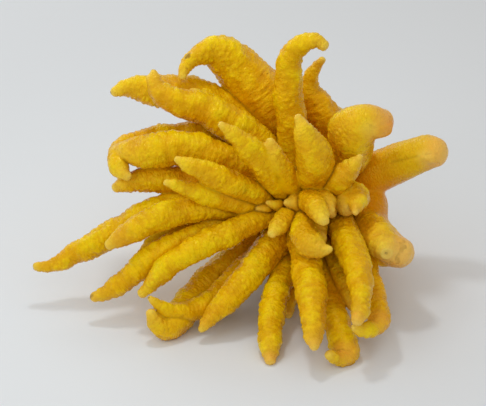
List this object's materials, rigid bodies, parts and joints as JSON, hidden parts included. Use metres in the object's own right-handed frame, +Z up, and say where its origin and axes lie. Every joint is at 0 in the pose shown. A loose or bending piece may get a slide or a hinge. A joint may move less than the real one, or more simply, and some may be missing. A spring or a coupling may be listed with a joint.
{
  "type": "buddhas hand citron",
  "caption": "Buddha's hand citron lying on its side: a ribbed palm that splits into many straight and hooked fingers, with a short woody stalk.",
  "frame": {"origin": "centre of the bounding box's bottom face, level with the surface that the fruit lies on", "axes": "+Z up as it lies; +X across the crown, along the fruit's longest extent, towards the two blunt fingers; -Y the way the crown faces, and +Y towards the stalk"},
  "size_m": [0.2522, 0.1922, 0.1606],
  "materials": {
    "rind": "waxy, semi-gloss, warty rind",
    "stalk": "dull green-brown bark"
  },
  "bodies": {
    "root": {"fruit": "rind", "stalk": "stalk"}
  },
  "joints": []
}
